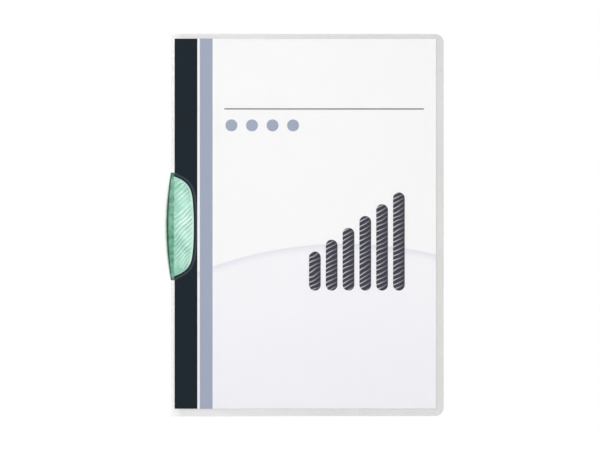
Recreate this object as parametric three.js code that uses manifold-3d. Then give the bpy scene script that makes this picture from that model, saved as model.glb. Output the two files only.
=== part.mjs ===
// A clip folder for A4 sheets: a film folder with a spine and a front cover, one printed title sheet, and a
// moulded clip that is riveted to the back cover and turns out sideways to let the sheets go.
// It lies on its back: X runs from the spine to the free edge, Y up the page, Z up from the table.
// The origin is at the middle of the folder's outline, on the table.

import * as THREE from "three";
import { mergeVertices } from "three/addons/utils/BufferGeometryUtils.js";
import Module from "manifold-3d";

const wasm = await Module();
wasm.setup();

// Clearances
const restGap = 0.3;
const creaseSlit = 0.15;
const pinClearance = 0.25;
const headSeat = 0.1;

// Folder film
const folderWidth = 219;
const folderHeight = 307;
const cornerRadius = 7;
const filmThickness = 0.35;
const creaseRadius = 0.5;
const fillRoom = 1.9;

// Title sheet, A4 card
const sheetWidth = 210;
const sheetHeight = 297;
const sheetThickness = 0.2;
const sheetInset = 2.9;
const sheetRaise = 1.05;

// Side clip, one moulding
const clipCentreY = -1.1;
const clipHalfLength = 43.2;
const webBulge = 4.7;
const webTipBulge = 0.28;
const webWall = 1.3;
const tipOverhang = 0.3;
const backJawThickness = 1.2;
const backJawInset = 4.5;
const backJawReach = 13;
const backJawRoundOff = 0.5;
const jawRootInset = 2.7;
const jawReach = 15.65;
const jawHalfLength = 40;
const jawBow = 0.2;
const jawSquareness = 8;
const jawThickness = 1.2;
const crestRise = 1.75;
const tipRise = 0.15;
const crestShare = 0.35;
const lipRound = 0.45;

// Ripples pressed into the front jaw
const rippleDepth = 0.22;
const rippleLength = 3.6;
const rippleAngle = THREE.MathUtils.degToRad(42);
const rippleSway = 0.8;
const rippleSwayLength = 26;
const rippleFade = 2.2;

// Pivot rivet and the clip's ear around it
const earRadius = 4;
const earCover = 0.4;
const earOverlap = 4;
const turnClearance = 0.6;
const shankRadius = 1.6;
const headRadius = 2.8;
const headThickness = 0.5;
const tailRadius = 2.5;
const tailThickness = 0.4;
const tailSink = 0.15;
const boreDepth = 0.7;

// The cover's cut-out stands back from the front jaw by this much
const coverMargin = 2;

// How far from the spine the film, the sheet and the cover ease down to the table
const backFlat = 30;
const backEased = 95;
const sheetEased = 60;
const coverFlat = 5;
const coverEased = 110;

// Facets
const easeSteps = 14;
const arcSteps = 6;
const notchSteps = 36;
const roundSteps = 32;
const clipStations = 94;
const outerCurveSteps = 5;
const topSteps = 19;
const innerSteps = 7;

// Heights that follow from the stack: back jaw, back film, rivet head, title sheet, front jaw
const backLift = backJawThickness + restGap;
const sheetLift = headSeat + headThickness + restGap;
const spineFold = filmThickness + sheetLift + sheetThickness + fillRoom + filmThickness;
const creaseTop = backLift + spineFold;
const hingeZ = creaseTop - filmThickness / 2;
const coverRestZ = filmThickness + restGap + sheetThickness + restGap;
const lipUnderZ = backLift + filmThickness + sheetLift + sheetThickness + restGap;
const lipTopZ = lipUnderZ + jawThickness;

// Places that follow from the outline
const spineX = -folderWidth / 2;
const hingeX = spineX + filmThickness / 2;
const jawRootX = spineX + jawRootInset;
const webTipX = spineX - webTipBulge;
const tipRightX = webTipX + webWall + tipOverhang;
const cutMargin = 5;

// The pivot, with Y counted from the clip's middle. The ear hides under the sheet's edge, and the clip's tip
// is far enough below the pivot to clear the spine strip once it has turned through a right angle.
// The notch in the spine ends just above the arc that the tip's inner corner draws.
const pivotInset = sheetInset + earCover + earRadius;
const pivotX = spineX + pivotInset;
const pivotUp = clipHalfLength + pivotInset + turnClearance;
const tipSweep = Math.hypot(pivotX - tipRightX, pivotUp - clipHalfLength);
const notchHalf = pivotUp - Math.sqrt(tipSweep ** 2 - pivotInset ** 2) + turnClearance;

function ease(from, to, value) {
  const t = THREE.MathUtils.clamp((value - from) / (to - from), 0, 1);
  return t * t * (3 - 2 * t);
}

// Undersides of the three layers at a distance s from the spine's outer face

function backUnder(s) {
  return backLift * (1 - ease(backFlat, backEased, s));
}

function sheetUnder(s) {
  const gap = THREE.MathUtils.lerp(sheetLift, restGap, ease(backFlat, sheetEased, s));
  return backUnder(s) + filmThickness + gap;
}

function coverUnder(s) {
  const high = hingeZ - filmThickness / 2;
  return THREE.MathUtils.lerp(high, coverRestZ, ease(coverFlat, coverEased, s));
}

// Distances from the spine where an eased layer needs a point: both ends and the curve between them
function layerStops(start, curveFrom, curveTo, end) {
  const stops = [start];
  for (let i = 0; i <= easeSteps; i += 1) {
    stops.push(THREE.MathUtils.lerp(curveFrom, curveTo, i / easeSteps));
  }
  stops.push(end);
  return stops;
}

function layerPoints(stops, under, rise) {
  return stops.map((s) => new THREE.Vector2(spineX + s, under(s) + rise));
}

// A section drawn in X and Z becomes a bar along Y, from y = low to y = low + length
function extrudeAlongY(section, low, length) {
  const options = { depth: length, bevelEnabled: false };
  const geometry = new THREE.ExtrudeGeometry(new THREE.Shape(section), options);
  geometry.rotateX(Math.PI / 2);
  geometry.translate(0, low + length, 0);
  return geometry;
}

function extrudeUp(shape, low, high) {
  const options = { depth: high - low, bevelEnabled: false, curveSegments: arcSteps };
  const geometry = new THREE.ExtrudeGeometry(shape, options);
  geometry.translate(0, 0, low);
  return geometry;
}

// An upright cylinder about the origin, for the holes
function upright(radius, halfHeight) {
  return new THREE.CylinderGeometry(radius, radius, 2 * halfHeight, roundSteps).rotateX(Math.PI / 2);
}

// Closed meshes to solids that can be cut and joined, and back

function toSolid(geometry) {
  const bare = geometry.clone();
  bare.deleteAttribute("normal");
  bare.deleteAttribute("uv");
  const merged = mergeVertices(bare, 1e-5);
  const vertProperties = new Float32Array(merged.attributes.position.array);
  const triVerts = new Uint32Array(merged.index.array);
  return new wasm.Manifold(new wasm.Mesh({ numProp: 3, vertProperties, triVerts }));
}

function toGeometry(solid) {
  const mesh = solid.getMesh();
  const geometry = new THREE.BufferGeometry();
  geometry.setAttribute("position", new THREE.BufferAttribute(mesh.vertProperties, 3));
  geometry.setIndex(new THREE.BufferAttribute(mesh.triVerts, 1));
  geometry.computeVertexNormals();
  return geometry;
}

// How far the front jaw reaches, as a share, at a share of its half length: a bowed edge, squarish shoulders
function jawShape(share) {
  return 1 - jawBow * share ** 2 - (1 - jawBow) * Math.abs(share) ** jawSquareness;
}

// Outline of the folder seen from above: square at the spine, rounded at the free edge
function folderOutline() {
  const freeX = folderWidth / 2;
  const topY = folderHeight / 2;
  const shape = new THREE.Shape();
  shape.moveTo(spineX, -topY);
  shape.lineTo(freeX - cornerRadius, -topY);
  shape.absarc(freeX - cornerRadius, -topY + cornerRadius, cornerRadius, -Math.PI / 2, 0, false);
  shape.lineTo(freeX, topY - cornerRadius);
  shape.absarc(freeX - cornerRadius, topY - cornerRadius, cornerRadius, 0, Math.PI / 2, false);
  shape.lineTo(spineX, topY);
  shape.closePath();
  return shape;
}

// Back cover: the back panel and the spine strip, one film with a crease between them
function makeBackCover() {
  const stripTopZ = hingeZ - filmThickness / 2 - creaseSlit;
  const section = [new THREE.Vector2(spineX, stripTopZ)];
  for (let i = 0; i <= arcSteps; i += 1) {
    const angle = Math.PI + (Math.PI / 2) * (i / arcSteps);
    const x = spineX + creaseRadius + creaseRadius * Math.cos(angle);
    const z = backLift + creaseRadius + creaseRadius * Math.sin(angle);
    section.push(new THREE.Vector2(x, z));
  }
  const stops = layerStops(creaseRadius, backFlat, backEased, folderWidth);
  section.push(...layerPoints(stops.slice(1), backUnder, 0));
  section.push(...layerPoints(stops, backUnder, filmThickness).reverse());
  const innerRadius = creaseRadius - filmThickness;
  for (let i = 1; i <= arcSteps; i += 1) {
    const angle = -Math.PI / 2 - (Math.PI / 2) * (i / arcSteps);
    const x = spineX + creaseRadius + innerRadius * Math.cos(angle);
    const z = backLift + creaseRadius + innerRadius * Math.sin(angle);
    section.push(new THREE.Vector2(x, z));
  }
  section.push(new THREE.Vector2(spineX + filmThickness, stripTopZ));
  const film = toSolid(extrudeAlongY(section, -folderHeight / 2, folderHeight));
  const outline = toSolid(extrudeUp(folderOutline(), -cutMargin, creaseTop + cutMargin));

  const notch = new THREE.Shape([
    new THREE.Vector2(spineX - cutMargin, -notchHalf),
    new THREE.Vector2(tipRightX + restGap, -notchHalf),
    new THREE.Vector2(tipRightX + restGap, notchHalf),
    new THREE.Vector2(spineX - cutMargin, notchHalf),
  ]);
  const notchCut = toSolid(extrudeUp(notch, -cutMargin, creaseTop + cutMargin).translate(0, clipCentreY, 0));
  const hole = upright(shankRadius + pinClearance, cutMargin).translate(pivotX, clipCentreY + pivotUp, 0);
  return toGeometry(film.intersect(outline).subtract(notchCut).subtract(toSolid(hole)));
}

// Front cover: a clear film that turns about the spine's upper crease, with a D-shaped cut-out for the clip
function makeFrontCover() {
  const section = [];
  for (let i = 0; i <= arcSteps; i += 1) {
    const angle = Math.PI / 2 + Math.PI * (i / arcSteps);
    const x = hingeX + (filmThickness / 2) * Math.cos(angle);
    const z = hingeZ + (filmThickness / 2) * Math.sin(angle);
    section.push(new THREE.Vector2(x, z));
  }
  const stops = layerStops(coverFlat / 2, coverFlat, coverEased, folderWidth);
  section.push(...layerPoints(stops, coverUnder, 0));
  section.push(...layerPoints(stops, coverUnder, filmThickness).reverse());
  const film = toSolid(extrudeAlongY(section, -folderHeight / 2, folderHeight));
  const outline = toSolid(extrudeUp(folderOutline(), -cutMargin, creaseTop + cutMargin));

  const cutOut = [new THREE.Vector2(spineX - cutMargin, -notchHalf), new THREE.Vector2(jawRootX, -notchHalf)];
  const cutHalf = jawHalfLength + coverMargin;
  for (let i = 0; i <= notchSteps; i += 1) {
    const share = -Math.cos(Math.PI * (i / notchSteps));
    cutOut.push(new THREE.Vector2(jawRootX + (jawReach + coverMargin) * jawShape(share), share * cutHalf));
  }
  cutOut.push(new THREE.Vector2(jawRootX, notchHalf), new THREE.Vector2(spineX - cutMargin, notchHalf));
  const cutter = extrudeUp(new THREE.Shape(cutOut), -cutMargin, creaseTop + cutMargin);
  return toGeometry(film.intersect(outline).subtract(toSolid(cutter.translate(0, clipCentreY, 0))));
}

// Title sheet: one A4 card that lies between the covers, under the clip's front jaw
function makeTitleSheet() {
  const stops = layerStops(sheetInset, backFlat, backEased, sheetInset + sheetWidth);
  const section = layerPoints(stops, sheetUnder, 0);
  section.push(...layerPoints(stops, sheetUnder, sheetThickness).reverse());
  return extrudeAlongY(section, sheetRaise - sheetHeight / 2, sheetHeight);
}

// Plan outlines of the clip, as X at a height y above the clip's middle

function webOuterX(y) {
  const bow = (y / clipHalfLength) ** 2;
  return THREE.MathUtils.lerp(spineX - webBulge, webTipX, bow);
}

function jawEdgeX(y) {
  const along = Math.abs(y);
  if (along <= jawHalfLength) {
    return jawRootX + jawReach * jawShape(along / jawHalfLength);
  }
  const past = (along - jawHalfLength) / (clipHalfLength - jawHalfLength);
  return THREE.MathUtils.lerp(jawRootX, tipRightX, past);
}

function backJawEdgeX(y) {
  const share = y / (clipHalfLength + backJawRoundOff);
  return spineX + backJawInset + backJawReach * Math.sqrt(1 - share * share);
}

function crestZ(y) {
  return lipTopZ + THREE.MathUtils.lerp(crestRise, tipRise, (y / clipHalfLength) ** 2);
}

// The ripples run up to the right in strokes that sway and fade out towards the jaw's edges
function ripple(x, y) {
  const along = x * Math.cos(rippleAngle) + y * Math.sin(rippleAngle);
  const across = y * Math.cos(rippleAngle) - x * Math.sin(rippleAngle);
  const sway = rippleSway * Math.sin((2 * Math.PI * along) / rippleSwayLength);
  const stroke = Math.sin((2 * Math.PI * (across + sway)) / rippleLength);
  const fromEdge = Math.min(jawEdgeX(y) - x, x - jawRootX);
  return rippleDepth * stroke * ease(0, rippleFade, fromEdge);
}

// One section of the clip across Y: a C that is open towards the free edge.
// It runs from the back jaw's lower edge round the web and over the front jaw, then back along the inside.
function clipSection(y) {
  const left = webOuterX(y);
  const right = jawEdgeX(y);
  const innerLeft = left + webWall;
  const backRight = backJawEdgeX(y);
  const crest = crestZ(y);
  const crestX = THREE.MathUtils.lerp(left, right, crestShare);
  const innerCrest = crest - jawThickness;
  const innerCrestX = THREE.MathUtils.lerp(innerLeft, right, crestShare);
  const outerTurn = (crestX - left) / 2;
  const innerTurn = (innerCrestX - innerLeft) / 2;
  const middle = crest / 2;
  const innerMiddle = (backJawThickness + innerCrest) / 2;
  const points = [new THREE.Vector3(backRight, y, 0)];

  for (let i = 0; i < outerCurveSteps; i += 1) {
    const angle = (Math.PI / 2) * (i / outerCurveSteps);
    const x = left + outerTurn * (1 - Math.sin(angle));
    points.push(new THREE.Vector3(x, y, middle * (1 - Math.cos(angle))));
  }
  for (let i = 0; i < outerCurveSteps; i += 1) {
    const angle = (Math.PI / 2) * (i / outerCurveSteps);
    const x = left + (crestX - left) * (1 - Math.cos(angle));
    points.push(new THREE.Vector3(x, y, middle + (crest - middle) * Math.sin(angle)));
  }
  for (let i = 0; i <= topSteps; i += 1) {
    const t = i / topSteps;
    const x = THREE.MathUtils.lerp(crestX, right, t);
    const smooth = THREE.MathUtils.lerp(crest, lipTopZ, t * t);
    const roundOff = lipRound * (1 - ease(0, jawThickness, right - x));
    points.push(new THREE.Vector3(x, y, smooth - roundOff + ripple(x, y)));
  }
  for (let i = 0; i <= innerSteps; i += 1) {
    const t = 1 - i / innerSteps;
    const x = THREE.MathUtils.lerp(innerCrestX, right, t);
    points.push(new THREE.Vector3(x, y, THREE.MathUtils.lerp(innerCrest, lipUnderZ, t * t)));
  }
  for (let i = 1; i <= outerCurveSteps; i += 1) {
    const angle = (Math.PI / 2) * (1 - i / outerCurveSteps);
    const x = innerLeft + (innerCrestX - innerLeft) * (1 - Math.cos(angle));
    points.push(new THREE.Vector3(x, y, innerMiddle + (innerCrest - innerMiddle) * Math.sin(angle)));
  }
  for (let i = 1; i <= outerCurveSteps; i += 1) {
    const angle = (Math.PI / 2) * (i / outerCurveSteps);
    const x = innerLeft + innerTurn * (1 - Math.cos(angle));
    points.push(new THREE.Vector3(x, y, innerMiddle - (innerMiddle - backJawThickness) * Math.sin(angle)));
  }
  points.push(new THREE.Vector3(backRight, y, backJawThickness));
  return points;
}

// Triangles over one end section, turned to face along Y in the given direction
function endTriangles(ring, direction) {
  const flat = ring.map((point) => new THREE.Vector2(point.x, point.z));
  const faces = THREE.ShapeUtils.triangulateShape(flat, []);
  return faces.map(([a, b, c]) => {
    const area = THREE.ShapeUtils.area([flat[a], flat[b], flat[c]]);
    const facesBack = area > 0;
    return facesBack === (direction < 0) ? [a, b, c] : [a, c, b];
  });
}

// The clip's body: its sections joined along Y, closer together towards the tips
function makeClipBody() {
  const rings = [];
  for (let i = 0; i <= clipStations; i += 1) {
    const t = (2 * i) / clipStations - 1;
    const spread = 0.4 * t + 0.6 * Math.sin((Math.PI / 2) * t);
    rings.push(clipSection(clipHalfLength * spread));
  }
  const count = rings[0].length;
  const last = (rings.length - 1) * count;
  const indices = [];
  for (let row = 0; row < rings.length - 1; row += 1) {
    for (let i = 0; i < count; i += 1) {
      const a = row * count + i;
      const b = row * count + ((i + 1) % count);
      indices.push(a, b, b + count);
      indices.push(a, b + count, a + count);
    }
  }
  for (const face of endTriangles(rings[0], -1)) {
    indices.push(...face);
  }
  for (const face of endTriangles(rings[rings.length - 1], 1)) {
    indices.push(...face.map((corner) => corner + last));
  }
  const geometry = new THREE.BufferGeometry().setFromPoints(rings.flat());
  geometry.setIndex(indices);
  return geometry;
}

// Side clip: the body and a rounded ear that lies flat under the back cover, bored for the rivet
function makeSideClip() {
  const footY = clipHalfLength - earOverlap;
  const ear = new THREE.Shape();
  ear.moveTo(pivotX - earRadius, footY);
  ear.lineTo(backJawEdgeX(footY) - restGap, footY);
  ear.lineTo(pivotX + earRadius, pivotUp);
  ear.absarc(pivotX, pivotUp, earRadius, 0, Math.PI, false);
  ear.closePath();
  const hole = upright(shankRadius + pinClearance, cutMargin).translate(pivotX, pivotUp, 0);
  const bore = upright(tailRadius + pinClearance, boreDepth).translate(pivotX, pivotUp, 0);
  const moulding = toSolid(makeClipBody()).add(toSolid(extrudeUp(ear, 0, backJawThickness)));
  return toGeometry(moulding.subtract(toSolid(hole)).subtract(toSolid(bore)));
}

// Pivot rivet: a flat head inside the back cover, a shank, and a tail spread in the ear's counterbore
function makePivotRivet() {
  const headLow = backLift + filmThickness + headSeat;
  const profile = [
    new THREE.Vector2(0, tailSink),
    new THREE.Vector2(tailRadius, tailSink),
    new THREE.Vector2(tailRadius, tailSink + tailThickness),
    new THREE.Vector2(shankRadius, tailSink + tailThickness),
    new THREE.Vector2(shankRadius, headLow),
    new THREE.Vector2(headRadius, headLow),
    new THREE.Vector2(headRadius, headLow + headThickness),
    new THREE.Vector2(0, headLow + headThickness),
  ];
  const geometry = new THREE.LatheGeometry(profile, roundSteps);
  geometry.rotateX(Math.PI / 2);
  return geometry;
}

function piece(name, geometry, color, roughness, extra = {}) {
  const material = new THREE.MeshStandardMaterial({ color, roughness, metalness: 0, ...extra });
  const mesh = new THREE.Mesh(geometry, material);
  mesh.name = name;
  return mesh;
}

const folder = new THREE.Group();
folder.add(piece("back_cover", makeBackCover(), 0xd9dcda, 0.45, { transparent: true, opacity: 0.7 }));
folder.add(piece("front_cover", makeFrontCover(), 0xf2f5f4, 0.15, { transparent: true, opacity: 0.2 }));
folder.add(piece("title_sheet", makeTitleSheet(), 0xf6f6f7, 0.6));

const clip = piece("side_clip", makeSideClip(), 0x8fd3b5, 0.3);
clip.position.y = clipCentreY;
folder.add(clip);

const rivet = piece("pivot_rivet", makePivotRivet(), 0xeceeed, 0.4);
rivet.position.set(pivotX, clipCentreY + pivotUp, 0);
folder.add(rivet);

export default folder;
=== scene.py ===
import math
import bmesh
import bpy
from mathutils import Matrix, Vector


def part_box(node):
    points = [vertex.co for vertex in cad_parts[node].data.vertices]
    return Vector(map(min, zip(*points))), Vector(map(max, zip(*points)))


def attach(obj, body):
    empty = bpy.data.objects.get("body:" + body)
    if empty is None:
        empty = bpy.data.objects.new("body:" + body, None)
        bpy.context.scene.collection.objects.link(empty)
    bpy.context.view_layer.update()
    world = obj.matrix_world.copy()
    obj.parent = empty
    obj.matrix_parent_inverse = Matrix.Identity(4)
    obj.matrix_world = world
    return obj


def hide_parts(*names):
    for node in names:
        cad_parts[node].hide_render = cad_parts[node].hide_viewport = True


# A clip folder for A4 sheets, lying closed on its back: two film covers, a printed title sheet between them,
# and a moulded clip on a rivet. All places are in metres, in the folder's own frame: X from the spine to the
# free edge, Y up the page, Z up from the table.
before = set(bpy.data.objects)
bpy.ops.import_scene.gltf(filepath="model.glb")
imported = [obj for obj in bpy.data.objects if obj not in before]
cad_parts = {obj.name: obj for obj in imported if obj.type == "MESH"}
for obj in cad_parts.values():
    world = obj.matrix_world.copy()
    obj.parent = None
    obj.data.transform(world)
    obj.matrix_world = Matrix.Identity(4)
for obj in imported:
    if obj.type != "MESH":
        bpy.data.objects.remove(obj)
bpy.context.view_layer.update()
scene = bpy.context.scene
scene.view_settings.view_transform = "Standard"

# Camera
# It looks straight down at the closed folder, from so far that the page's edges stay parallel.
# The folder's middle lies a little right of the picture's middle.
PICTURE_WIDTH_PX = 600
PX_PER_METRE = 1246.3
FOLDER_MIDDLE_PX = 307.4
CAMERA_HEIGHT = 2.0
COVER_HEIGHT = 0.003
SENSOR_WIDTH_MM = 36
NEAR_LIMIT = 0.05
FAR_LIMIT = 20

camera_data = bpy.data.cameras.new("camera")
camera = bpy.data.objects.new("camera", camera_data)
scene.collection.objects.link(camera)
scene.camera = camera
camera_data.sensor_width = SENSOR_WIDTH_MM
picture_width = PICTURE_WIDTH_PX / PX_PER_METRE
camera_data.lens = SENSOR_WIDTH_MM * (CAMERA_HEIGHT - COVER_HEIGHT) / picture_width
camera_data.clip_start = NEAR_LIMIT
camera_data.clip_end = FAR_LIMIT
camera.location = ((PICTURE_WIDTH_PX / 2 - FOLDER_MIDDLE_PX) / PX_PER_METRE, 0, CAMERA_HEIGHT)


# Table and light
# A pale plain table under a bright sky of even light, with one large soft lamp up and to the left.
# The table and the sky look white to the eye, and the table still takes the folder's soft shadow. Only what
# mirrors the ceiling straight above finds it dark, so the flat film doesn't veil the print.
WHITE = (1, 1, 1, 1)
TABLE_HALF = 3.0
TABLE_DROP = 0.0001
TABLE_COLOUR = (0.93, 0.93, 0.93, 1)
TABLE_SHADOW_SHARE = 0.3
SKY_LEVEL = 0.475
CEILING_GLOSS = 0.02
CEILING_START = 0.35
CEILING_FULL = 0.9
LAMP_POWER = 24
LAMP_SIZE = 1.1
LAMP_PLACE = Vector((-0.85, 0.55, 1.7))
FILL_POWER = 11
FILL_PLACE = Vector((1.0, -0.8, 1.6))


def start_tree(owner):
    owner.use_nodes = True
    owner.node_tree.nodes.clear()
    return owner.node_tree


def add_node(tree, kind, inputs=None, **settings):
    node = tree.nodes.new(kind)
    for key, value in settings.items():
        setattr(node, key, value)
    for key, value in (inputs or {}).items():
        if isinstance(value, bpy.types.NodeSocket):
            tree.links.new(value, node.inputs[key])
        else:
            node.inputs[key].default_value = value
    return node


def calc(tree, operation, *values):
    return add_node(tree, "ShaderNodeMath", dict(enumerate(values)), operation=operation).outputs[0]


def fade(tree, value, low, high, to_low=0.0, to_high=1.0):
    """A soft step: to_low where value is under low, to_high where it is over high."""
    node = add_node(tree, "ShaderNodeMapRange",
                    {"Value": value, "From Min": low, "From Max": high, "To Min": to_low, "To Max": to_high},
                    interpolation_type="SMOOTHSTEP")
    return node.outputs["Result"]


def blend(tree, share, first, second):
    """The first shader where share is 0, the second where it is 1."""
    return add_node(tree, "ShaderNodeMixShader", {0: share, 1: first.outputs[0], 2: second.outputs[0]})


def put_out(tree, shader, kind="ShaderNodeOutputMaterial"):
    add_node(tree, kind, {"Surface": shader.outputs[0]})


def seen_directly(tree):
    """1 for what the eye, a reflection or clear plastic shows, 0 for light that falls on things."""
    path = add_node(tree, "ShaderNodeLightPath").outputs
    direct = calc(tree, "MAXIMUM", path["Is Camera Ray"], path["Is Glossy Ray"])
    return calc(tree, "MAXIMUM", direct, path["Is Transmission Ray"])


table_material = bpy.data.materials.new("table")
tree = start_tree(table_material)
matt = add_node(tree, "ShaderNodeBsdfDiffuse", {"Color": TABLE_COLOUR})
white = add_node(tree, "ShaderNodeEmission", {"Color": WHITE, "Strength": 1.0})
unshadowed = calc(tree, "MULTIPLY", seen_directly(tree), 1 - TABLE_SHADOW_SHARE)
put_out(tree, blend(tree, unshadowed, matt, white))

table_mesh = bpy.data.meshes.new("table")
signs = [(-1, -1), (1, -1), (1, 1), (-1, 1)]
corners = [(right * TABLE_HALF, up * TABLE_HALF, -TABLE_DROP) for right, up in signs]
table_mesh.from_pydata(corners, [], [(0, 1, 2, 3)])
table_mesh.materials.append(table_material)
table = bpy.data.objects.new("table", table_mesh)
scene.collection.objects.link(table)

world = bpy.data.worlds.new("sky")
scene.world = world
tree = start_tree(world)
falling = add_node(tree, "ShaderNodeBackground", {"Color": WHITE, "Strength": SKY_LEVEL})
direction = add_node(tree, "ShaderNodeTexCoord").outputs["Generated"]
upward = add_node(tree, "ShaderNodeSeparateXYZ", {0: direction}).outputs[2]
mirrored = add_node(tree, "ShaderNodeLightPath").outputs["Is Glossy Ray"]
dimming = calc(tree, "MULTIPLY", fade(tree, upward, CEILING_START, CEILING_FULL), mirrored)
level = calc(tree, "MULTIPLY_ADD", dimming, CEILING_GLOSS - 1, 1.0)
shown = add_node(tree, "ShaderNodeBackground", {"Color": WHITE, "Strength": level})
put_out(tree, blend(tree, seen_directly(tree), falling, shown), "ShaderNodeOutputWorld")


def add_lamp(name, place, power, size):
    data = bpy.data.lights.new(name, "AREA")
    data.energy = power
    data.size = size
    lamp = bpy.data.objects.new(name, data)
    lamp.location = place
    lamp.rotation_euler = (-place).to_track_quat("-Z", "Y").to_euler()
    scene.collection.objects.link(lamp)


add_lamp("main_lamp", LAMP_PLACE, LAMP_POWER, LAMP_SIZE)
add_lamp("fill_lamp", FILL_PLACE, FILL_POWER, LAMP_SIZE)


# Back cover
# Polypropylene film, frosted and slightly grey, cut from a sheet and creased once to make the spine strip.
# Near the crease and over the strip the film is painted whiter and left clearer: painted light that lifts the
# shade the strip and the front cover cast there.
BACK_GREY = (0.77, 0.76, 0.745, 1)
BACK_PALE = (0.83, 0.82, 0.81, 1)
BACK_SPINE_PAINTED_LIGHT = (0.98, 0.99, 1.0, 1)
BACK_COVERING_AT_SPINE = 0.11
BACK_COVERING_AT_EDGE = 0.32
BACK_SPINE_COVERING = 0.05
BACK_STRIP = 0.0032
BACK_SPINE_FADE = 0.006
BACK_CLOUD_SIZE = 0.06
BACK_FROST_SIZE = 0.0004
BACK_FROST_DEPTH = 0.00002
BACK_FROST_STRENGTH = 0.5
BACK_ROUGHNESS = (0.38, 0.50)
BACK_TINT = (0.972, 0.972, 0.972, 1)
BACK_COVERING_FROM_X = -0.09
BACK_COVERING_TO_X = 0.09
PLASTIC_IOR = 1.49
USUAL_NOISE = (0.3, 0.7)

spine_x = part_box("back_cover")[0][0]


def body_place(tree):
    """A point's place on the folder in metres, and its X and Y."""
    place = add_node(tree, "ShaderNodeTexCoord").outputs["Object"]
    split = add_node(tree, "ShaderNodeSeparateXYZ", {0: place})
    return place, split.outputs[0], split.outputs[1]


def mix_colour(tree, share, first, second):
    node = tree.nodes.new("ShaderNodeMix")
    node.data_type = "RGBA"
    for index, value in ((0, share), (6, first), (7, second)):
        if isinstance(value, bpy.types.NodeSocket):
            tree.links.new(value, node.inputs[index])
        else:
            node.inputs[index].default_value = value
    return node.outputs[2]


def noise(tree, place, size, detail=2.0):
    node = add_node(tree, "ShaderNodeTexNoise", {"Vector": place, "Scale": 1 / size, "Detail": detail})
    return node.outputs["Fac"]


def spread(tree, value, low=0.0, high=1.0):
    """Stretches a noise from its usual values to those from low to high."""
    return fade(tree, value, *USUAL_NOISE, low, high)


def bump(tree, height, depth, strength=1.0, flat=False):
    node = add_node(tree, "ShaderNodeBump", {"Height": height, "Distance": depth, "Strength": strength})
    if flat:
        tree.links.new(add_node(tree, "ShaderNodeNewGeometry").outputs["True Normal"], node.inputs["Normal"])
    return node.outputs["Normal"]


def dress(node_name, material):
    """Gives a carried-over CAD node its finish."""
    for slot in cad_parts[node_name].material_slots:
        slot.material = material


back_film = bpy.data.materials.new("frosted_back_film")
tree = start_tree(back_film)
place, x, y = body_place(tree)
# Painted light: near the spine the film is whiter and clearer, to lift the shade that falls there.
near_spine = fade(tree, x, spine_x + BACK_STRIP, spine_x + BACK_STRIP + BACK_SPINE_FADE, 1.0, 0.0)
cloud = noise(tree, place, BACK_CLOUD_SIZE)
grey = mix_colour(tree, spread(tree, cloud), BACK_GREY, BACK_PALE)
frost = noise(tree, place, BACK_FROST_SIZE)
film = add_node(tree, "ShaderNodeBsdfPrincipled", {
    "Base Color": mix_colour(tree, near_spine, grey, BACK_SPINE_PAINTED_LIGHT),
    "Roughness": spread(tree, frost, *BACK_ROUGHNESS),
    "IOR": PLASTIC_IOR,
    "Normal": bump(tree, frost, BACK_FROST_DEPTH, BACK_FROST_STRENGTH, flat=True),
})
clear = add_node(tree, "ShaderNodeBsdfTransparent", {"Color": mix_colour(tree, near_spine, BACK_TINT, WHITE)})
frosted = fade(tree, x, BACK_COVERING_FROM_X, BACK_COVERING_TO_X,
               BACK_COVERING_AT_SPINE, BACK_COVERING_AT_EDGE)
covering = fade(tree, near_spine, 0.0, 1.0, frosted, BACK_SPINE_COVERING)
put_out(tree, blend(tree, covering, clear, film))
dress("back_cover", back_film)


# Title sheet
# One A4 card, printed on the front: a dark band and a grey-blue band at the spine side, a fine rule across,
# a row of dots under the rule, and a bar motif standing on a pale field. It lies loose between the covers,
# and the clip's jaws hold it at the spine.
INK_NAVY = (0.0065, 0.0150, 0.0230, 1)
INK_NAVY_BARE_AND_GLOW = (0.016, 0.032, 0.041, 1)
INK_BLUE = (0.367, 0.408, 0.515, 1)
INK_RULE = (0.17, 0.17, 0.19, 1)
INK_CHARCOAL = (0.055, 0.052, 0.068, 1)
INK_STREAK = (0.62, 0.61, 0.68, 1)
PAPER_WHITE = (0.915, 0.910, 0.915, 1)
PAPER_BRIGHT = (0.935, 0.935, 0.94, 1)
FIELD_PALE = (0.86, 0.86, 0.90, 1)
FIELD_RIM = (0.90, 0.90, 0.925, 1)
FIELD_DEEP = (0.66, 0.67, 0.75, 1)
FIBRE_SIZE = 0.0007
FIBRE_DETAIL = 4.0
FIBRE_NOISE = (0.25, 0.75)
FIBRE_DEPTH = 0.00003
FIBRE_STRENGTH = 0.35
CARD_ROUGHNESS = (0.50, 0.62)
CARD_SPECULAR = 0.08
PRINTED_SIDE = (0.3, 0.6)
NAVY_WIDTH = 0.01830
BAND_GAP = 0.0020
BLUE_WIDTH = 0.0102
RULE_START_X = -0.0666
RULE_END_X = 0.0935
RULE_Y = 0.0932
RULE_WIDTH = 0.0010
DOT_ROW_Y = 0.0800
DOT_FIRST_X = -0.0610
DOT_PITCH = 0.0165
DOT_COUNT = 4
DOT_RADIUS = 0.0048
BAR_FIRST_X = 0.0060
BAR_PITCH = 0.0135
BAR_COUNT = 6
BAR_RADIUS = 0.0047
BAR_FOOT_Y = -0.0480
BAR_FIRST_HEIGHT = 0.0220
BAR_STEP_HEIGHT = 0.0095
STREAK_PITCH = 0.0034
STREAK_ANGLE = math.radians(28)
STREAK_WAVE = (0.45, 0.95)
STREAK_SWAY = 5.0
STREAK_SWAY_SIZE = 0.011
STREAK_SHARE_LEFT = 0.9
STREAK_SHARE_RIGHT = 0.15
FIELD_MIDDLE_X = 0.0300
FIELD_MIDDLE_Y = -0.3300
FIELD_RADIUS = 0.3150
FIELD_CORE = 0.17
FIELD_EDGE_WIDTH = 0.007
FIELD_EDGE_SHARE = 0.45
FIELD_SOFTNESS = 0.0003
PRINT_SOFTNESS = 0.00012
BARE_INK_START = -0.0003
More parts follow.
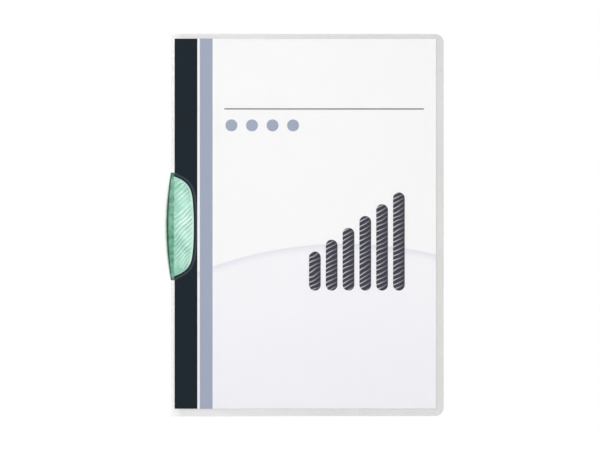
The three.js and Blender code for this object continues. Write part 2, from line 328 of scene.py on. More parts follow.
BARE_INK_END = 0.0004

# The outline of the clip's front jaw, which the cover's cut-out follows at a margin.
CLIP_CENTRE_Y = -0.0011
JAW_ROOT_INSET = 0.0027
JAW_REACH = 0.01565
JAW_HALF_LENGTH = 0.0400
JAW_BOW = 0.2
JAW_SQUARENESS = 8
COVER_MARGIN = 0.0020

sheet_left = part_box("title_sheet")[0][0]
jaw_root_x = spine_x + JAW_ROOT_INSET
cut_reach = JAW_REACH + COVER_MARGIN
cut_half = JAW_HALF_LENGTH + COVER_MARGIN


def from_cut_edge(tree, x, y):
    """How far a point of the cover lies from the edge of its D-shaped cut-out."""
    along = calc(tree, "ABSOLUTE", calc(tree, "SUBTRACT", y, CLIP_CENTRE_Y))
    share = calc(tree, "MINIMUM", calc(tree, "DIVIDE", along, cut_half), 1.0)
    bowed = calc(tree, "MULTIPLY", calc(tree, "POWER", share, 2.0), JAW_BOW)
    squared = calc(tree, "MULTIPLY", calc(tree, "POWER", share, float(JAW_SQUARENESS)), 1 - JAW_BOW)
    shape = calc(tree, "SUBTRACT", 1.0, calc(tree, "ADD", bowed, squared))
    past = calc(tree, "SUBTRACT", x, calc(tree, "MULTIPLY_ADD", shape, cut_reach, jaw_root_x))
    turn = calc(tree, "MULTIPLY", calc(tree, "POWER", share, JAW_SQUARENESS - 1.0),
                JAW_SQUARENESS * (1 - JAW_BOW) * cut_reach / cut_half)
    steepness = calc(tree, "SQRT", calc(tree, "MULTIPLY_ADD", turn, turn, 1.0))
    beside = calc(tree, "DIVIDE", past, steepness)
    return calc(tree, "MAXIMUM", beside, calc(tree, "SUBTRACT", along, cut_half))


def between(tree, value, low, high):
    """1 between two places, with an edge as soft as print."""
    rising = fade(tree, value, low - PRINT_SOFTNESS, low + PRINT_SOFTNESS)
    falling = fade(tree, value, high - PRINT_SOFTNESS, high + PRINT_SOFTNESS, 1.0, 0.0)
    return calc(tree, "MULTIPLY", rising, falling)


def distance(tree, across, up):
    squares = calc(tree, "ADD", calc(tree, "MULTIPLY", across, across), calc(tree, "MULTIPLY", up, up))
    return calc(tree, "SQRT", squares)


def round_spot(tree, across, up, radius):
    """1 inside a round spot, for distances from its middle."""
    return fade(tree, distance(tree, across, up), radius - PRINT_SOFTNESS, radius + PRINT_SOFTNESS, 1.0, 0.0)


def nearest_of_row(tree, x, first, pitch, count):
    """The number of the nearest item in a row, and the distance from its middle."""
    steps = calc(tree, "DIVIDE", calc(tree, "SUBTRACT", x, first), pitch)
    number = calc(tree, "MINIMUM", calc(tree, "MAXIMUM", calc(tree, "ROUND", steps), 0.0), count - 1.0)
    middle = calc(tree, "MULTIPLY_ADD", number, pitch, first)
    return number, calc(tree, "SUBTRACT", x, middle)


printed_card = bpy.data.materials.new("printed_card")
tree = start_tree(printed_card)
place, x, y = body_place(tree)
fibres = noise(tree, place, FIBRE_SIZE, FIBRE_DETAIL)
paper = mix_colour(tree, fade(tree, fibres, *FIBRE_NOISE), PAPER_WHITE, PAPER_BRIGHT)

from_field_x = calc(tree, "SUBTRACT", x, FIELD_MIDDLE_X)
from_field_y = calc(tree, "SUBTRACT", y, FIELD_MIDDLE_Y)
from_field = distance(tree, from_field_x, from_field_y)
field_mask = fade(tree, from_field, FIELD_RADIUS - FIELD_SOFTNESS, FIELD_RADIUS + FIELD_SOFTNESS, 1.0, 0.0)
field_colour = mix_colour(tree, fade(tree, from_field, FIELD_CORE, FIELD_RADIUS), FIELD_PALE, FIELD_RIM)
field_edge = fade(tree, from_field, FIELD_RADIUS - FIELD_EDGE_WIDTH, FIELD_RADIUS, 0.0, FIELD_EDGE_SHARE)
field_colour = mix_colour(tree, field_edge, field_colour, FIELD_DEEP)
colour = mix_colour(tree, field_mask, paper, field_colour)

bar_number, from_bar = nearest_of_row(tree, x, BAR_FIRST_X, BAR_PITCH, BAR_COUNT)
bar_top = calc(tree, "MULTIPLY_ADD", bar_number, BAR_STEP_HEIGHT, BAR_FOOT_Y + BAR_FIRST_HEIGHT)
above_top = calc(tree, "MAXIMUM", calc(tree, "SUBTRACT", y, bar_top), 0.0)
below_foot = calc(tree, "MAXIMUM", calc(tree, "SUBTRACT", BAR_FOOT_Y, y), 0.0)
bar_mask = round_spot(tree, from_bar, calc(tree, "ADD", above_top, below_foot), BAR_RADIUS)
slant = calc(tree, "ADD", calc(tree, "MULTIPLY", x, -math.sin(STREAK_ANGLE)),
             calc(tree, "MULTIPLY", y, math.cos(STREAK_ANGLE)))
slant_turns = calc(tree, "MULTIPLY", slant, 2 * math.pi / STREAK_PITCH)
slant_sway = noise(tree, place, STREAK_SWAY_SIZE, 1.0)
streak_turns = calc(tree, "MULTIPLY_ADD", slant_sway, STREAK_SWAY, slant_turns)
streak_share = fade(tree, from_bar, -BAR_RADIUS, BAR_RADIUS, STREAK_SHARE_LEFT, STREAK_SHARE_RIGHT)
streak = calc(tree, "MULTIPLY", fade(tree, calc(tree, "SINE", streak_turns), *STREAK_WAVE), streak_share)
bar_colour = mix_colour(tree, streak, INK_CHARCOAL, INK_STREAK)
colour = mix_colour(tree, bar_mask, colour, bar_colour)

rule_mask = calc(tree, "MULTIPLY", between(tree, x, RULE_START_X, RULE_END_X),
                 between(tree, y, RULE_Y - RULE_WIDTH / 2, RULE_Y + RULE_WIDTH / 2))
colour = mix_colour(tree, rule_mask, colour, INK_RULE)
from_dot = nearest_of_row(tree, x, DOT_FIRST_X, DOT_PITCH, DOT_COUNT)[1]
dot_mask = round_spot(tree, from_dot, calc(tree, "SUBTRACT", y, DOT_ROW_Y), DOT_RADIUS)
colour = mix_colour(tree, dot_mask, colour, INK_BLUE)

navy_end = sheet_left + NAVY_WIDTH
blue_end = navy_end + BAND_GAP + BLUE_WIDTH
colour = mix_colour(tree, between(tree, x, navy_end + BAND_GAP, blue_end), colour, INK_BLUE)
# Inside the cover's cut-out the dark band is lighter: partly bare ink without the film, partly a painted glow
# of light through the clip.
under_cover = fade(tree, from_cut_edge(tree, x, y), BARE_INK_START, BARE_INK_END)
navy = mix_colour(tree, under_cover, INK_NAVY_BARE_AND_GLOW, INK_NAVY)
navy_mask = fade(tree, x, navy_end - PRINT_SOFTNESS, navy_end + PRINT_SOFTNESS, 1.0, 0.0)
colour = mix_colour(tree, navy_mask, colour, navy)

# Only the upper side is printed.
facing = add_node(tree, "ShaderNodeNewGeometry").outputs["Normal"]
upward = add_node(tree, "ShaderNodeSeparateXYZ", {0: facing}).outputs[2]
card = add_node(tree, "ShaderNodeBsdfPrincipled", {
    "Base Color": mix_colour(tree, fade(tree, upward, *PRINTED_SIDE), paper, colour),
    "Roughness": spread(tree, fibres, *CARD_ROUGHNESS),
    "Normal": bump(tree, fibres, FIBRE_DEPTH, FIBRE_STRENGTH),
})
card.inputs["Specular IOR Level"].default_value = CARD_SPECULAR
put_out(tree, card)
dress("title_sheet", printed_card)


# Front cover
# The same film, unfrosted: clear and glossy, with a trace of haze, creased along the spine and cut out in a D
# round the clip. A pressed line beside the crease lets it open; its faint grey is painted shade in the
# groove.
# A faint whitish band along the D's edge is a painted highlight where the cut edge catches the light.
HAZE_COLOUR = (0.80, 0.84, 0.83, 1)
HAZE_COVERING = 0.002
CUT_EDGE_HIGHLIGHT_COVERING = 0.035
CUT_EDGE_WIDTH = 0.0009
CUT_EDGE_CORE = 0.6
HAZE_ROUGHNESS = 0.22
FILM_IOR = 1.45
GLOSS_ROUGHNESS = 0.06
HEAD_ON_MIRROR = 0.034
MIRROR_POWER = 5.0
COVER_TINT = (0.987, 0.987, 0.987, 1)
COVER_STRIP_START = 0.0028
COVER_STRIP_END = 0.0036
COVER_WAVE_SIZE = 0.05
RELIEF_DEPTH = 0.0004
RELIEF_STRENGTH = 0.4
PRESSED_LINE_SHADE = (0.62, 0.66, 0.65, 1)
PRESSED_LINE = 0.0017
PRESSED_WIDTH = 0.00035
PRESSED_COVERING = 0.03
PRESSED_LEVEL = -0.6

clear_film = bpy.data.materials.new("clear_cover_film")
tree = start_tree(clear_film)
place, x, y = body_place(tree)
# Painted shade: the pressed line is painted a little grey, the shade in its groove.
from_line = calc(tree, "ABSOLUTE", calc(tree, "SUBTRACT", x, spine_x + PRESSED_LINE))
line_mask = fade(tree, from_line, 0.0, PRESSED_WIDTH, 1.0, 0.0)
relief = calc(tree, "MULTIPLY_ADD", line_mask, PRESSED_LEVEL, noise(tree, place, COVER_WAVE_SIZE, 1.0))
haze = add_node(tree, "ShaderNodeBsdfPrincipled", {
    "Base Color": mix_colour(tree, line_mask, HAZE_COLOUR, PRESSED_LINE_SHADE),
    "Roughness": HAZE_ROUGHNESS,
    "IOR": FILM_IOR,
    "Normal": bump(tree, relief, RELIEF_DEPTH, RELIEF_STRENGTH, flat=True),
})
# Painted light: over the spine strip the film lets all light through, to lift the shade that falls there.
at_spine = fade(tree, x, spine_x + COVER_STRIP_START, spine_x + COVER_STRIP_END, 1.0, 0.0)
clear = add_node(tree, "ShaderNodeBsdfTransparent", {"Color": mix_colour(tree, at_spine, COVER_TINT, WHITE)})
line_share = fade(tree, line_mask, 0.0, 1.0, HAZE_COVERING, PRESSED_COVERING)
# Painted highlight: a faint whitish band along the cut-out's edge.
cut_edge_highlight = fade(tree, from_cut_edge(tree, x, y), CUT_EDGE_WIDTH * CUT_EDGE_CORE, CUT_EDGE_WIDTH,
                 CUT_EDGE_HIGHLIGHT_COVERING, 0.0)
body = blend(tree, calc(tree, "MAXIMUM", line_share, cut_edge_highlight), clear, haze)
gloss = add_node(tree, "ShaderNodeBsdfGlossy", {
    "Color": WHITE,
    "Roughness": GLOSS_ROUGHNESS,
    "Normal": bump(tree, relief, RELIEF_DEPTH, RELIEF_STRENGTH, flat=True),
})
flat_normal = add_node(tree, "ShaderNodeNewGeometry").outputs["True Normal"]
slope = add_node(tree, "ShaderNodeLayerWeight", {"Blend": 0.5, "Normal": flat_normal}).outputs["Facing"]
mirror_rise = calc(tree, "POWER", slope, MIRROR_POWER)
mirror_share = calc(tree, "MULTIPLY_ADD", mirror_rise, 1 - HEAD_ON_MIRROR, HEAD_ON_MIRROR)
put_out(tree, blend(tree, mirror_share, body, gloss))
dress("front_cover", clear_film)


# Side clip
# One moulding in translucent mint green polypropylene: a back jaw, a web round the spine and a front jaw with
# ripples pressed into it. A rounded ear under the back cover turns on the rivet.
CLIP_HALF_LENGTH = 0.0432
WEB_BULGE = 0.0047
WEB_TIP_BULGE = 0.00028
WEB_WALL = 0.0013
TIP_OVERHANG = 0.0003
BACK_JAW_THICKNESS = 0.0012
BACK_JAW_INSET = 0.0045
BACK_JAW_REACH = 0.0130
BACK_JAW_ROUND_OFF = 0.0005
JAW_THICKNESS = 0.0012
LIP_UNDERSIDE = 0.00325
CREST_RISE = 0.00175
TIP_RISE = 0.00015
CREST_SHARE = 0.35
LIP_ROUND = 0.00045
STATIONS = 260
TURN_STEPS = 24
TOP_STEPS = 60
UNDER_STEPS = 16
EAR_RADIUS = 0.0040
EAR_COVER = 0.0004
EAR_OVERLAP = 0.0040
EAR_STEPS = 48
DARK_LINE_DEPTH = 0.0021
DARK_LINE_DEPTH_AT_TIP = 0.0009
FAR_DEPTH = 9.0
RIPPLES_ON_WEB = 0.0030
RIPPLE_FREE_EDGE = 0.0022
RIM_FULL = 0.0003
RIM_END = 0.0019
EVEN_STATION_SHARE = 0.4
CUT_REACH = 0.01
TURN_CLEARANCE = 0.0006
REST_GAP = 0.0003
SHEET_INSET = 0.0029
PIN_HOLE_RADIUS = 0.00185
TAIL_BORE_RADIUS = 0.00275
TAIL_BORE_DEPTH = 0.0007

lip_top = LIP_UNDERSIDE + JAW_THICKNESS
web_tip_x = spine_x - WEB_TIP_BULGE
tip_right_x = web_tip_x + WEB_WALL + TIP_OVERHANG
pivot_inset = SHEET_INSET + EAR_COVER + EAR_RADIUS
pivot_up = CLIP_HALF_LENGTH + pivot_inset + TURN_CLEARANCE
pivot = Vector((spine_x + pivot_inset, CLIP_CENTRE_Y + pivot_up, 0))


def lerp(a, b, t):
    return a + (b - a) * t


def eased(low, high, value):
    t = min(max((value - low) / (high - low), 0), 1)
    return t * t * (3 - 2 * t)


def jaw_edge_x(y):
    along = abs(y)
    if along <= JAW_HALF_LENGTH:
        share = along / JAW_HALF_LENGTH
        return jaw_root_x + JAW_REACH * (1 - JAW_BOW * share ** 2 - (1 - JAW_BOW) * share ** JAW_SQUARENESS)
    return lerp(jaw_root_x, tip_right_x, (along - JAW_HALF_LENGTH) / (CLIP_HALF_LENGTH - JAW_HALF_LENGTH))


def back_jaw_edge_x(y):
    round_off = y / (CLIP_HALF_LENGTH + BACK_JAW_ROUND_OFF)
    return spine_x + BACK_JAW_INSET + BACK_JAW_REACH * math.sqrt(1 - round_off * round_off)


def clip_ring(y):
    """The clip's C-shaped section at y above its middle.

    Each point has its place, how far the ripples act there, how near the jaw's rim it is, and how deep it
    lies behind the web's outline, in dark line depths.
    """
    bow = (y / CLIP_HALF_LENGTH) ** 2
    left = lerp(spine_x - WEB_BULGE, web_tip_x, bow)
    right = jaw_edge_x(y)
    inner_left = left + WEB_WALL
    back_right = back_jaw_edge_x(y)
    crest = lip_top + lerp(CREST_RISE, TIP_RISE, bow)
    crest_x = lerp(left, right, CREST_SHARE)
    inner_crest = crest - JAW_THICKNESS
    inner_crest_x = lerp(inner_left, right, CREST_SHARE)
    middle = crest / 2
    inner_middle = (BACK_JAW_THICKNESS + inner_crest) / 2
    line_depth = lerp(DARK_LINE_DEPTH, DARK_LINE_DEPTH_AT_TIP, bow)
    ring = [(back_right, 0, 0, 0, FAR_DEPTH)]
    for i in range(TURN_STEPS):
        angle = math.pi / 2 * i / TURN_STEPS
        px = left + (crest_x - left) / 2 * (1 - math.sin(angle))
        ring.append((px, middle * (1 - math.cos(angle)), 0, 0, (px - left) / line_depth))
    for i in range(TURN_STEPS):
        angle = math.pi / 2 * i / TURN_STEPS
        px = left + (crest_x - left) * (1 - math.cos(angle))
        ring.append((px, middle + (crest - middle) * math.sin(angle), 0, 0, (px - left) / line_depth))
    for i in range(TOP_STEPS + 1):
        t = i / TOP_STEPS
        px = lerp(crest_x, right, t)
        pz = lerp(crest, lip_top, t * t) - LIP_ROUND * (1 - eased(0, JAW_THICKNESS, right - px))
        from_edge = min(right - px, px - jaw_root_x + RIPPLES_ON_WEB)
        rim = 1 - eased(RIM_FULL, RIM_END, right - px)
        ring.append((px, pz, eased(0, RIPPLE_FREE_EDGE, from_edge), rim, (px - left) / line_depth))
    for i in range(UNDER_STEPS + 1):
        t = 1 - i / UNDER_STEPS
        ring.append((lerp(inner_crest_x, right, t), lerp(inner_crest, LIP_UNDERSIDE, t * t), 0, 0, FAR_DEPTH))
    for i in range(1, TURN_STEPS + 1):
        angle = math.pi / 2 * (1 - i / TURN_STEPS)
        px = inner_left + (inner_crest_x - inner_left) * (1 - math.cos(angle))
        ring.append((px, inner_middle + (inner_crest - inner_middle) * math.sin(angle), 0, 0, FAR_DEPTH))
    for i in range(1, TURN_STEPS + 1):
        angle = math.pi / 2 * i / TURN_STEPS
        px = inner_left + (inner_crest_x - inner_left) / 2 * (1 - math.cos(angle))
        drop = (inner_middle - BACK_JAW_THICKNESS) * math.sin(angle)
        ring.append((px, inner_middle - drop, 0, 0, FAR_DEPTH))
    ring.append((back_right, BACK_JAW_THICKNESS, 0, 0, FAR_DEPTH))
    return ring


def clip_body():
    """The moulding without its ear: closely spaced sections, closest at the two tips."""
    points = []
    reach = []
    rim = []
    depth = []
    for i in range(STATIONS + 1):
        t = 2 * i / STATIONS - 1
        crowded = math.sin(math.pi / 2 * t)
        y = CLIP_HALF_LENGTH * (EVEN_STATION_SHARE * t + (1 - EVEN_STATION_SHARE) * crowded)
        ring = clip_ring(y)
        for px, pz, ripples, edge, behind in ring:
            points.append((px, CLIP_CENTRE_Y + y, pz))
            reach.append(ripples)
            rim.append(edge)
            depth.append(behind)
    count = len(ring)
    faces = []
    for row in range(STATIONS):
        for i in range(count):
            a = row * count + i
            b = row * count + (i + 1) % count
            faces.append((a, b, b + count, a + count))
    last = STATIONS * count
    faces.append(tuple(reversed(range(count))))
    faces.append(tuple(range(last, last + count)))
    mesh = bpy.data.meshes.new("side_clip_body")
    mesh.from_pydata(points, [], faces)
    for name, values in (("ripple_reach", reach), ("rim", rim), ("web_depth", depth)):
        attribute = mesh.attributes.new(name, "FLOAT", "POINT")
        attribute.data.foreach_set("value", values)
    return mesh


def extruded(name, outline, low, high):
    """A closed plate or pin of the given outline, from low to high."""
    work = bmesh.new()
    base = [work.verts.new((px, py, low)) for px, py in outline]
    top = [work.verts.new((px, py, high)) for px, py in outline]
    work.faces.new(list(reversed(base)))
    work.faces.new(top)
    for i in range(len(outline)):
        j = (i + 1) % len(outline)
        work.faces.new((base[i], base[j], top[j], top[i]))
    mesh = bpy.data.meshes.new(name)
    work.to_mesh(mesh)
    work.free()
    return mesh


def circle(middle, radius, steps, start=0.0, turn=2 * math.pi):
    spaces = steps if turn == 2 * math.pi else steps - 1
    angles = [start + turn * i / spaces for i in range(steps)]
    return [(middle.x + radius * math.cos(a), middle.y + radius * math.sin(a)) for a in angles]


def place_object(name, mesh):
    obj = bpy.data.objects.new(name, mesh)
    scene.collection.objects.link(obj)
    return obj


def bake_modifiers(obj):
    """Turns an object with live modifiers into a plain mesh of the same name."""
    bpy.context.view_layer.update()
    evaluated = obj.evaluated_get(bpy.context.evaluated_depsgraph_get())
    mesh = bpy.data.meshes.new_from_object(evaluated)
    obj.modifiers.clear()
    obj.data = mesh


def join_or_cut(obj, tool_mesh, operation):
    tool = place_object("tool", tool_mesh)
    modifier = obj.modifiers.new("joint", "BOOLEAN")
    modifier.object = tool
    modifier.operation = operation
    modifier.solver = "EXACT"
    bake_modifiers(obj)
    bpy.data.objects.remove(tool)


RIPPLE_SIZES = {
    "Depth": 0.00024,
    "Length": 0.0027,
    "Angle": math.radians(45),
    "Sway": 0.006,
    "Fine share": 0.9,
    "Bend": 7.0,
}
SWAY_PATCH = 0.016
FINE_PATCH = 0.009
FINE_NOISE = (0.38, 0.54)
FINE_RATIO = 2.3
STRENGTH_PATCH = 0.012
STRENGTH_NOISE = (0.30, 0.62)
WEAKEST_RIPPLE = 0.35
CREASE_ANGLE = math.radians(50)

clip_plastic = bpy.data.materials.new("mint_clip_plastic")


def ripple_tree():
    """Presses swaying strokes in wherever ripple_reach allows, and keeps their height as ripple_height."""
    group = bpy.data.node_groups.new("jaw_ripples", "GeometryNodeTree")
    sockets = group.interface
    sockets.new_socket("Geometry", in_out="INPUT", socket_type="NodeSocketGeometry")
    for name, value in RIPPLE_SIZES.items():
        sockets.new_socket(name, in_out="INPUT", socket_type="NodeSocketFloat").default_value = value
    sockets.new_socket("Geometry", in_out="OUTPUT", socket_type="NodeSocketGeometry")
    given = add_node(group, "NodeGroupInput")
    result = add_node(group, "NodeGroupOutput")

    spot = add_node(group, "GeometryNodeInputPosition").outputs[0]
    split = add_node(group, "ShaderNodeSeparateXYZ", {0: spot})
    angle = given.outputs["Angle"]
    up_part = calc(group, "MULTIPLY", split.outputs[1], calc(group, "COSINE", angle))
    bend_down = calc(group, "MULTIPLY", given.outputs["Bend"], -1.0)
    steeper = calc(group, "MULTIPLY_ADD", split.outputs[1], bend_down, 1.0)
    from_middle = calc(group, "SUBTRACT", split.outputs[0], jaw_root_x + JAW_REACH / 2)
    slanted = calc(group, "MULTIPLY", from_middle, calc(group, "SINE", angle))
    side_part = calc(group, "MULTIPLY", slanted, steeper)
    across = calc(group, "SUBTRACT", up_part, side_part)
    sway = calc(group, "SUBTRACT", noise(group, spot, SWAY_PATCH, 1.0), 0.5)
    swayed = calc(group, "MULTIPLY_ADD", sway, given.outputs["Sway"], across)
    turns = calc(group, "DIVIDE", calc(group, "MULTIPLY", swayed, 2 * math.pi), given.outputs["Length"])
    broad = calc(group, "SINE", turns)
    fine = calc(group, "SINE", calc(group, "MULTIPLY", turns, FINE_RATIO))
    where_fine = fade(group, noise(group, spot, FINE_PATCH, 1.0), *FINE_NOISE)
    fine_here = calc(group, "MULTIPLY", fine, where_fine)
    fine_part = calc(group, "MULTIPLY", fine_here, given.outputs["Fine share"])
    strength = fade(group, noise(group, spot, STRENGTH_PATCH, 1.0), *STRENGTH_NOISE, WEAKEST_RIPPLE, 1.0)
    wave = calc(group, "MULTIPLY", calc(group, "ADD", broad, fine_part), strength)
    reach = add_node(group, "GeometryNodeInputNamedAttribute", {"Name": "ripple_reach"}, data_type="FLOAT")
    shown_wave = calc(group, "MULTIPLY", wave, reach.outputs["Attribute"])
    lift = calc(group, "MULTIPLY", shown_wave, given.outputs["Depth"])
    offset = add_node(group, "ShaderNodeCombineXYZ", {2: lift})
    kept = add_node(group, "GeometryNodeStoreNamedAttribute",
                    {"Geometry": given.outputs["Geometry"], "Name": "ripple_height", "Value": shown_wave},
                    data_type="FLOAT", domain="POINT")
    moved = add_node(group, "GeometryNodeSetPosition",
                     {"Geometry": kept.outputs[0], "Offset": offset.outputs[0]})
    whole = add_node(group, "GeometryNodeRealizeInstances", {0: moved.outputs[0]})
    finished = add_node(group, "GeometryNodeSetMaterial",
                        {"Geometry": whole.outputs[0], "Material": clip_plastic})
    group.links.new(finished.outputs[0], result.inputs[0])
    return group


clip = place_object("side_clip_moulding", clip_body())
modifier = clip.modifiers.new("ripples", "NODES")
modifier.node_group = ripple_tree()
for item in modifier.node_group.interface.items_tree:
    if item.in_out == "INPUT" and item.name in RIPPLE_SIZES:
        modifier[item.identifier] = RIPPLE_SIZES[item.name]
bake_modifiers(clip)

foot_y = CLIP_HALF_LENGTH - EAR_OVERLAP
foot_right = back_jaw_edge_x(foot_y) - REST_GAP
ear_outline = [(pivot.x - EAR_RADIUS, CLIP_CENTRE_Y + foot_y), (foot_right, CLIP_CENTRE_Y + foot_y)]
ear_outline += circle(pivot, EAR_RADIUS, EAR_STEPS, 0.0, math.pi)
join_or_cut(clip, extruded("ear", ear_outline, 0, BACK_JAW_THICKNESS), "UNION")
pin_hole = circle(pivot, PIN_HOLE_RADIUS, EAR_STEPS)
join_or_cut(clip, extruded("pin_hole", pin_hole, -CUT_REACH, CUT_REACH), "DIFFERENCE")
tail_bore = circle(pivot, TAIL_BORE_RADIUS, EAR_STEPS)
join_or_cut(clip, extruded("tail_bore", tail_bore, -CUT_REACH, TAIL_BORE_DEPTH), "DIFFERENCE")
clip.data.shade_smooth()
clip.data.set_sharp_from_angle(angle=CREASE_ANGLE)
clip.data.materials.clear()
clip.data.materials.append(clip_plastic)

MINT_LIGHT = (0.47, 0.79, 0.66, 1)
MINT_DEEP = (0.245, 0.54, 0.415, 1)
MINT_PAINTED_HIGHLIGHT = (0.90, 1.0, 0.96, 1)
WEB_THICK_AND_SHADED_GREEN = (0.066, 0.245, 0.138, 1)
WEB_RIM_PAINTED_LIGHT = (0.62, 0.76, 0.69, 1)
EDGE_PAINTED_SHADE = (0.018, 0.050, 0.036, 1)
CLEAR_MINT = (0.6, 0.9, 0.76, 1)
CLIP_COVERING = 0.93
CLIP_ROUGHNESS = (0.24, 0.34)
CLIP_SPECULAR = 0.3
CLIP_GLOW = 0.15
CLIP_GLOW_DEPTH = 0.002
MINT_CLOUD_SIZE = 0.014
MINT_CLOUD_NOISE = (0.35, 0.65)
TROUGH_HEIGHT = (-1.2, 0.2)
TROUGH_SHADE = 0.55
CREST_HEIGHT = (0.35, 1.25)
CREST_PAINTED_HIGHLIGHT = 0.85
ROOT_SHADE = 0.3
ROOT_SHADE_START = 0.001
ROOT_SHADE_END = 0.007
HIGHLIGHT_SPOT_INSET = 0.0105
HIGHLIGHT_SPOT_Y = 0.0035
HIGHLIGHT_SPOT_STRETCH = 0.45
HIGHLIGHT_SPOT_CORE = 0.002
HIGHLIGHT_SPOT_EDGE = 0.009
HIGHLIGHT_SPOT_HEIGHT = (-0.4, 0.7)
HIGHLIGHT_SPOT_STRENGTH = 0.85
RIM_PAINTED_HIGHLIGHT = 0.6
WEB_CLOUD_SIZE = 0.006
WEB_CLOUD_NOISE = (0.32, 0.66)
WEB_PALENESS = 0.55
WEB_RIM_DEPTH = (0.2, 0.7)
WEB_RIM_SHARE = 0.9
DARK_LINE_WIDTH = (0.1, 0.55)
DARK_LINE_SHARE = 0.95
WEB_EDGE_PATCH = 0.0025
WEB_EDGE_SWAY = 0.0022
WEB_EDGE_START = -0.0007
WEB_EDGE_END = 0.0005
CLIP_GRAIN_SIZE = 0.00035
CLIP_GRAIN_DEPTH = 0.00002
CLIP_GRAIN_STRENGTH = 0.4

tree = start_tree(clip_plastic)
place, x, y = body_place(tree)
height = add_node(tree, "ShaderNodeAttribute", attribute_name="ripple_height").outputs["Fac"]
rim = add_node(tree, "ShaderNodeAttribute", attribute_name="rim").outputs["Fac"]
depth = add_node(tree, "ShaderNodeAttribute", attribute_name="web_depth").outputs["Fac"]

cloud = noise(tree, place, MINT_CLOUD_SIZE)
mint = mix_colour(tree, fade(tree, cloud, *MINT_CLOUD_NOISE), MINT_DEEP, MINT_LIGHT)
# Painted shade and highlight on the ripples: troughs are painted deeper green, crests near white.
mint = mix_colour(tree, fade(tree, height, *TROUGH_HEIGHT, TROUGH_SHADE, 0.0), mint, MINT_DEEP)
mint = mix_colour(tree, fade(tree, height, *CREST_HEIGHT, 0.0, CREST_PAINTED_HIGHLIGHT), mint, MINT_PAINTED_HIGHLIGHT)
near_root = fade(tree, x, jaw_root_x + ROOT_SHADE_START, jaw_root_x + ROOT_SHADE_END, ROOT_SHADE, 0.0)
mint = mix_colour(tree, near_root, mint, MINT_DEEP)
# Painted highlight: a soft whitish patch right of the jaw's middle, strongest on the ripple crests.
highlight_x = calc(tree, "SUBTRACT", x, jaw_root_x + HIGHLIGHT_SPOT_INSET)
highlight_y = calc(tree, "MULTIPLY", calc(tree, "SUBTRACT", y, HIGHLIGHT_SPOT_Y), HIGHLIGHT_SPOT_STRETCH)
near_highlight = fade(tree, distance(tree, highlight_x, highlight_y), HIGHLIGHT_SPOT_CORE, HIGHLIGHT_SPOT_EDGE,
                 HIGHLIGHT_SPOT_STRENGTH, 0.0)
highlight_spot = calc(tree, "MULTIPLY", near_highlight, fade(tree, height, *HIGHLIGHT_SPOT_HEIGHT))
mint = mix_colour(tree, highlight_spot, mint, MINT_PAINTED_HIGHLIGHT)
# Painted highlight: the jaw's rim is painted whitish where its edge catches the light.
mint = mix_colour(tree, calc(tree, "MULTIPLY", rim, RIM_PAINTED_HIGHLIGHT), mint, MINT_PAINTED_HIGHLIGHT)

# The web's dark green is partly the deeper tint of the thicker plastic and partly painted shade of a face
# turned from the light.
web_cloud = noise(tree, place, WEB_CLOUD_SIZE)
web = mix_colour(tree, fade(tree, web_cloud, *WEB_CLOUD_NOISE, 0.0, WEB_PALENESS), WEB_THICK_AND_SHADED_GREEN, MINT_DEEP)
level_x = calc(tree, "SUBTRACT", x, WEB_EDGE_SWAY / 2)
boundary = calc(tree, "MULTIPLY_ADD", noise(tree, place, WEB_EDGE_PATCH), WEB_EDGE_SWAY, level_x)
on_web = fade(tree, boundary, jaw_root_x + WEB_EDGE_START, jaw_root_x + WEB_EDGE_END, 1.0, 0.0)
colour = mix_colour(tree, on_web, mint, web)
# Painted highlight: the web's outermost rim is painted pale on its steep face.
colour = mix_colour(tree, fade(tree, depth, *WEB_RIM_DEPTH, WEB_RIM_SHARE, 0.0), colour, WEB_RIM_PAINTED_LIGHT)
# Painted shade: a dark line runs just inside the web's outline, the shade of its steep outer wall.
from_line = calc(tree, "ABSOLUTE", calc(tree, "SUBTRACT", depth, 1.0))
colour = mix_colour(tree, fade(tree, from_line, *DARK_LINE_WIDTH, DARK_LINE_SHARE, 0.0), colour, EDGE_PAINTED_SHADE)

grain = noise(tree, place, CLIP_GRAIN_SIZE)
plastic = add_node(tree, "ShaderNodeBsdfPrincipled", {
    "Base Color": colour,
    "Roughness": spread(tree, grain, *CLIP_ROUGHNESS),
    "Normal": bump(tree, grain, CLIP_GRAIN_DEPTH, CLIP_GRAIN_STRENGTH),
    "IOR": PLASTIC_IOR,
    "Specular IOR Level": CLIP_SPECULAR,
    "Subsurface Weight": CLIP_GLOW,
    "Subsurface Scale": CLIP_GLOW_DEPTH,
})
clear = add_node(tree, "ShaderNodeBsdfTransparent", {"Color": CLEAR_MINT})
put_out(tree, blend(tree, CLIP_COVERING, clear, plastic))
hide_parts("side_clip")
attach(clip, "clip")


# Pivot rivet
# A turned and headed pin in natural polypropylene. Its flat head lies inside the back cover, and its tail is
# spread in the ear's counterbore.
RIVET_STEPS = 64
HEAD_RADIUS = 0.0028
SHANK_RADIUS = 0.0016
TAIL_RADIUS = 0.0025
TAIL_LOW = 0.00015
TAIL_HIGH = 0.00055
HEAD_LOW = 0.00195
HEAD_HIGH = 0.00245
TAIL_HOLLOW = 0.00005
EDGE_SOFTENING = 0.00012
RIVET_CREASE_ANGLE = math.radians(35)
RIVET_SHADE = (0.80, 0.81, 0.80, 1)
RIVET_WHITE = (0.88, 0.89, 0.88, 1)
RIVET_ROUGHNESS = (0.30, 0.42)
RIVET_GRAIN_SIZE = 0.0005
RIVET_GRAIN_DEPTH = 0.00002
RIVET_GRAIN_STRENGTH = 0.3

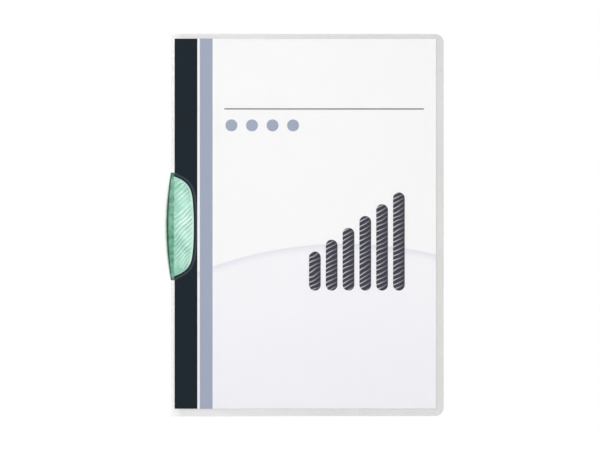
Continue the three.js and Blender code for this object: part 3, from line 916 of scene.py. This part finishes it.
rivet_profile = [
    (0, TAIL_LOW + TAIL_HOLLOW),
    (TAIL_RADIUS - 2 * EDGE_SOFTENING, TAIL_LOW),
    (TAIL_RADIUS, TAIL_LOW + EDGE_SOFTENING),
    (TAIL_RADIUS, TAIL_HIGH - EDGE_SOFTENING),
    (TAIL_RADIUS - EDGE_SOFTENING, TAIL_HIGH),
    (SHANK_RADIUS, TAIL_HIGH),
    (SHANK_RADIUS, HEAD_LOW),
    (HEAD_RADIUS - EDGE_SOFTENING, HEAD_LOW),
    (HEAD_RADIUS, HEAD_LOW + EDGE_SOFTENING),
    (HEAD_RADIUS - EDGE_SOFTENING, HEAD_HIGH - EDGE_SOFTENING),
    (HEAD_RADIUS - 4 * EDGE_SOFTENING, HEAD_HIGH),
    (0, HEAD_HIGH),
]


def turned(name, profile, middle, steps):
    """A solid turned about the upright line through middle, from its profile of radius and height."""
    work = bmesh.new()
    rows = []
    for radius, level in profile:
        if radius == 0:
            rows.append([work.verts.new((middle.x, middle.y, level))])
        else:
            ring = circle(middle, radius, steps)
            rows.append([work.verts.new((px, py, level)) for px, py in ring])
    for low, high in zip(rows, rows[1:]):
        for i in range(steps):
            j = (i + 1) % steps
            if len(low) == 1:
                work.faces.new((low[0], high[j], high[i]))
            elif len(high) == 1:
                work.faces.new((low[i], low[j], high[0]))
            else:
                work.faces.new((low[i], low[j], high[j], high[i]))
    mesh = bpy.data.meshes.new(name)
    work.to_mesh(mesh)
    work.free()
    return mesh


rivet = place_object("pivot_rivet_pin", turned("pivot_rivet_pin", rivet_profile, pivot, RIVET_STEPS))
rivet.data.shade_smooth()
rivet.data.set_sharp_from_angle(angle=RIVET_CREASE_ANGLE)
natural_plastic = bpy.data.materials.new("natural_rivet_plastic")
tree = start_tree(natural_plastic)
grain = noise(tree, body_place(tree)[0], RIVET_GRAIN_SIZE, 3.0)
plastic = add_node(tree, "ShaderNodeBsdfPrincipled", {
    "Base Color": mix_colour(tree, grain, RIVET_SHADE, RIVET_WHITE),
    "Roughness": spread(tree, grain, *RIVET_ROUGHNESS),
    "Normal": bump(tree, grain, RIVET_GRAIN_DEPTH, RIVET_GRAIN_STRENGTH),
})
put_out(tree, plastic)
rivet.data.materials.append(natural_plastic)
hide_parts("pivot_rivet")
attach(rivet, "folder_back")
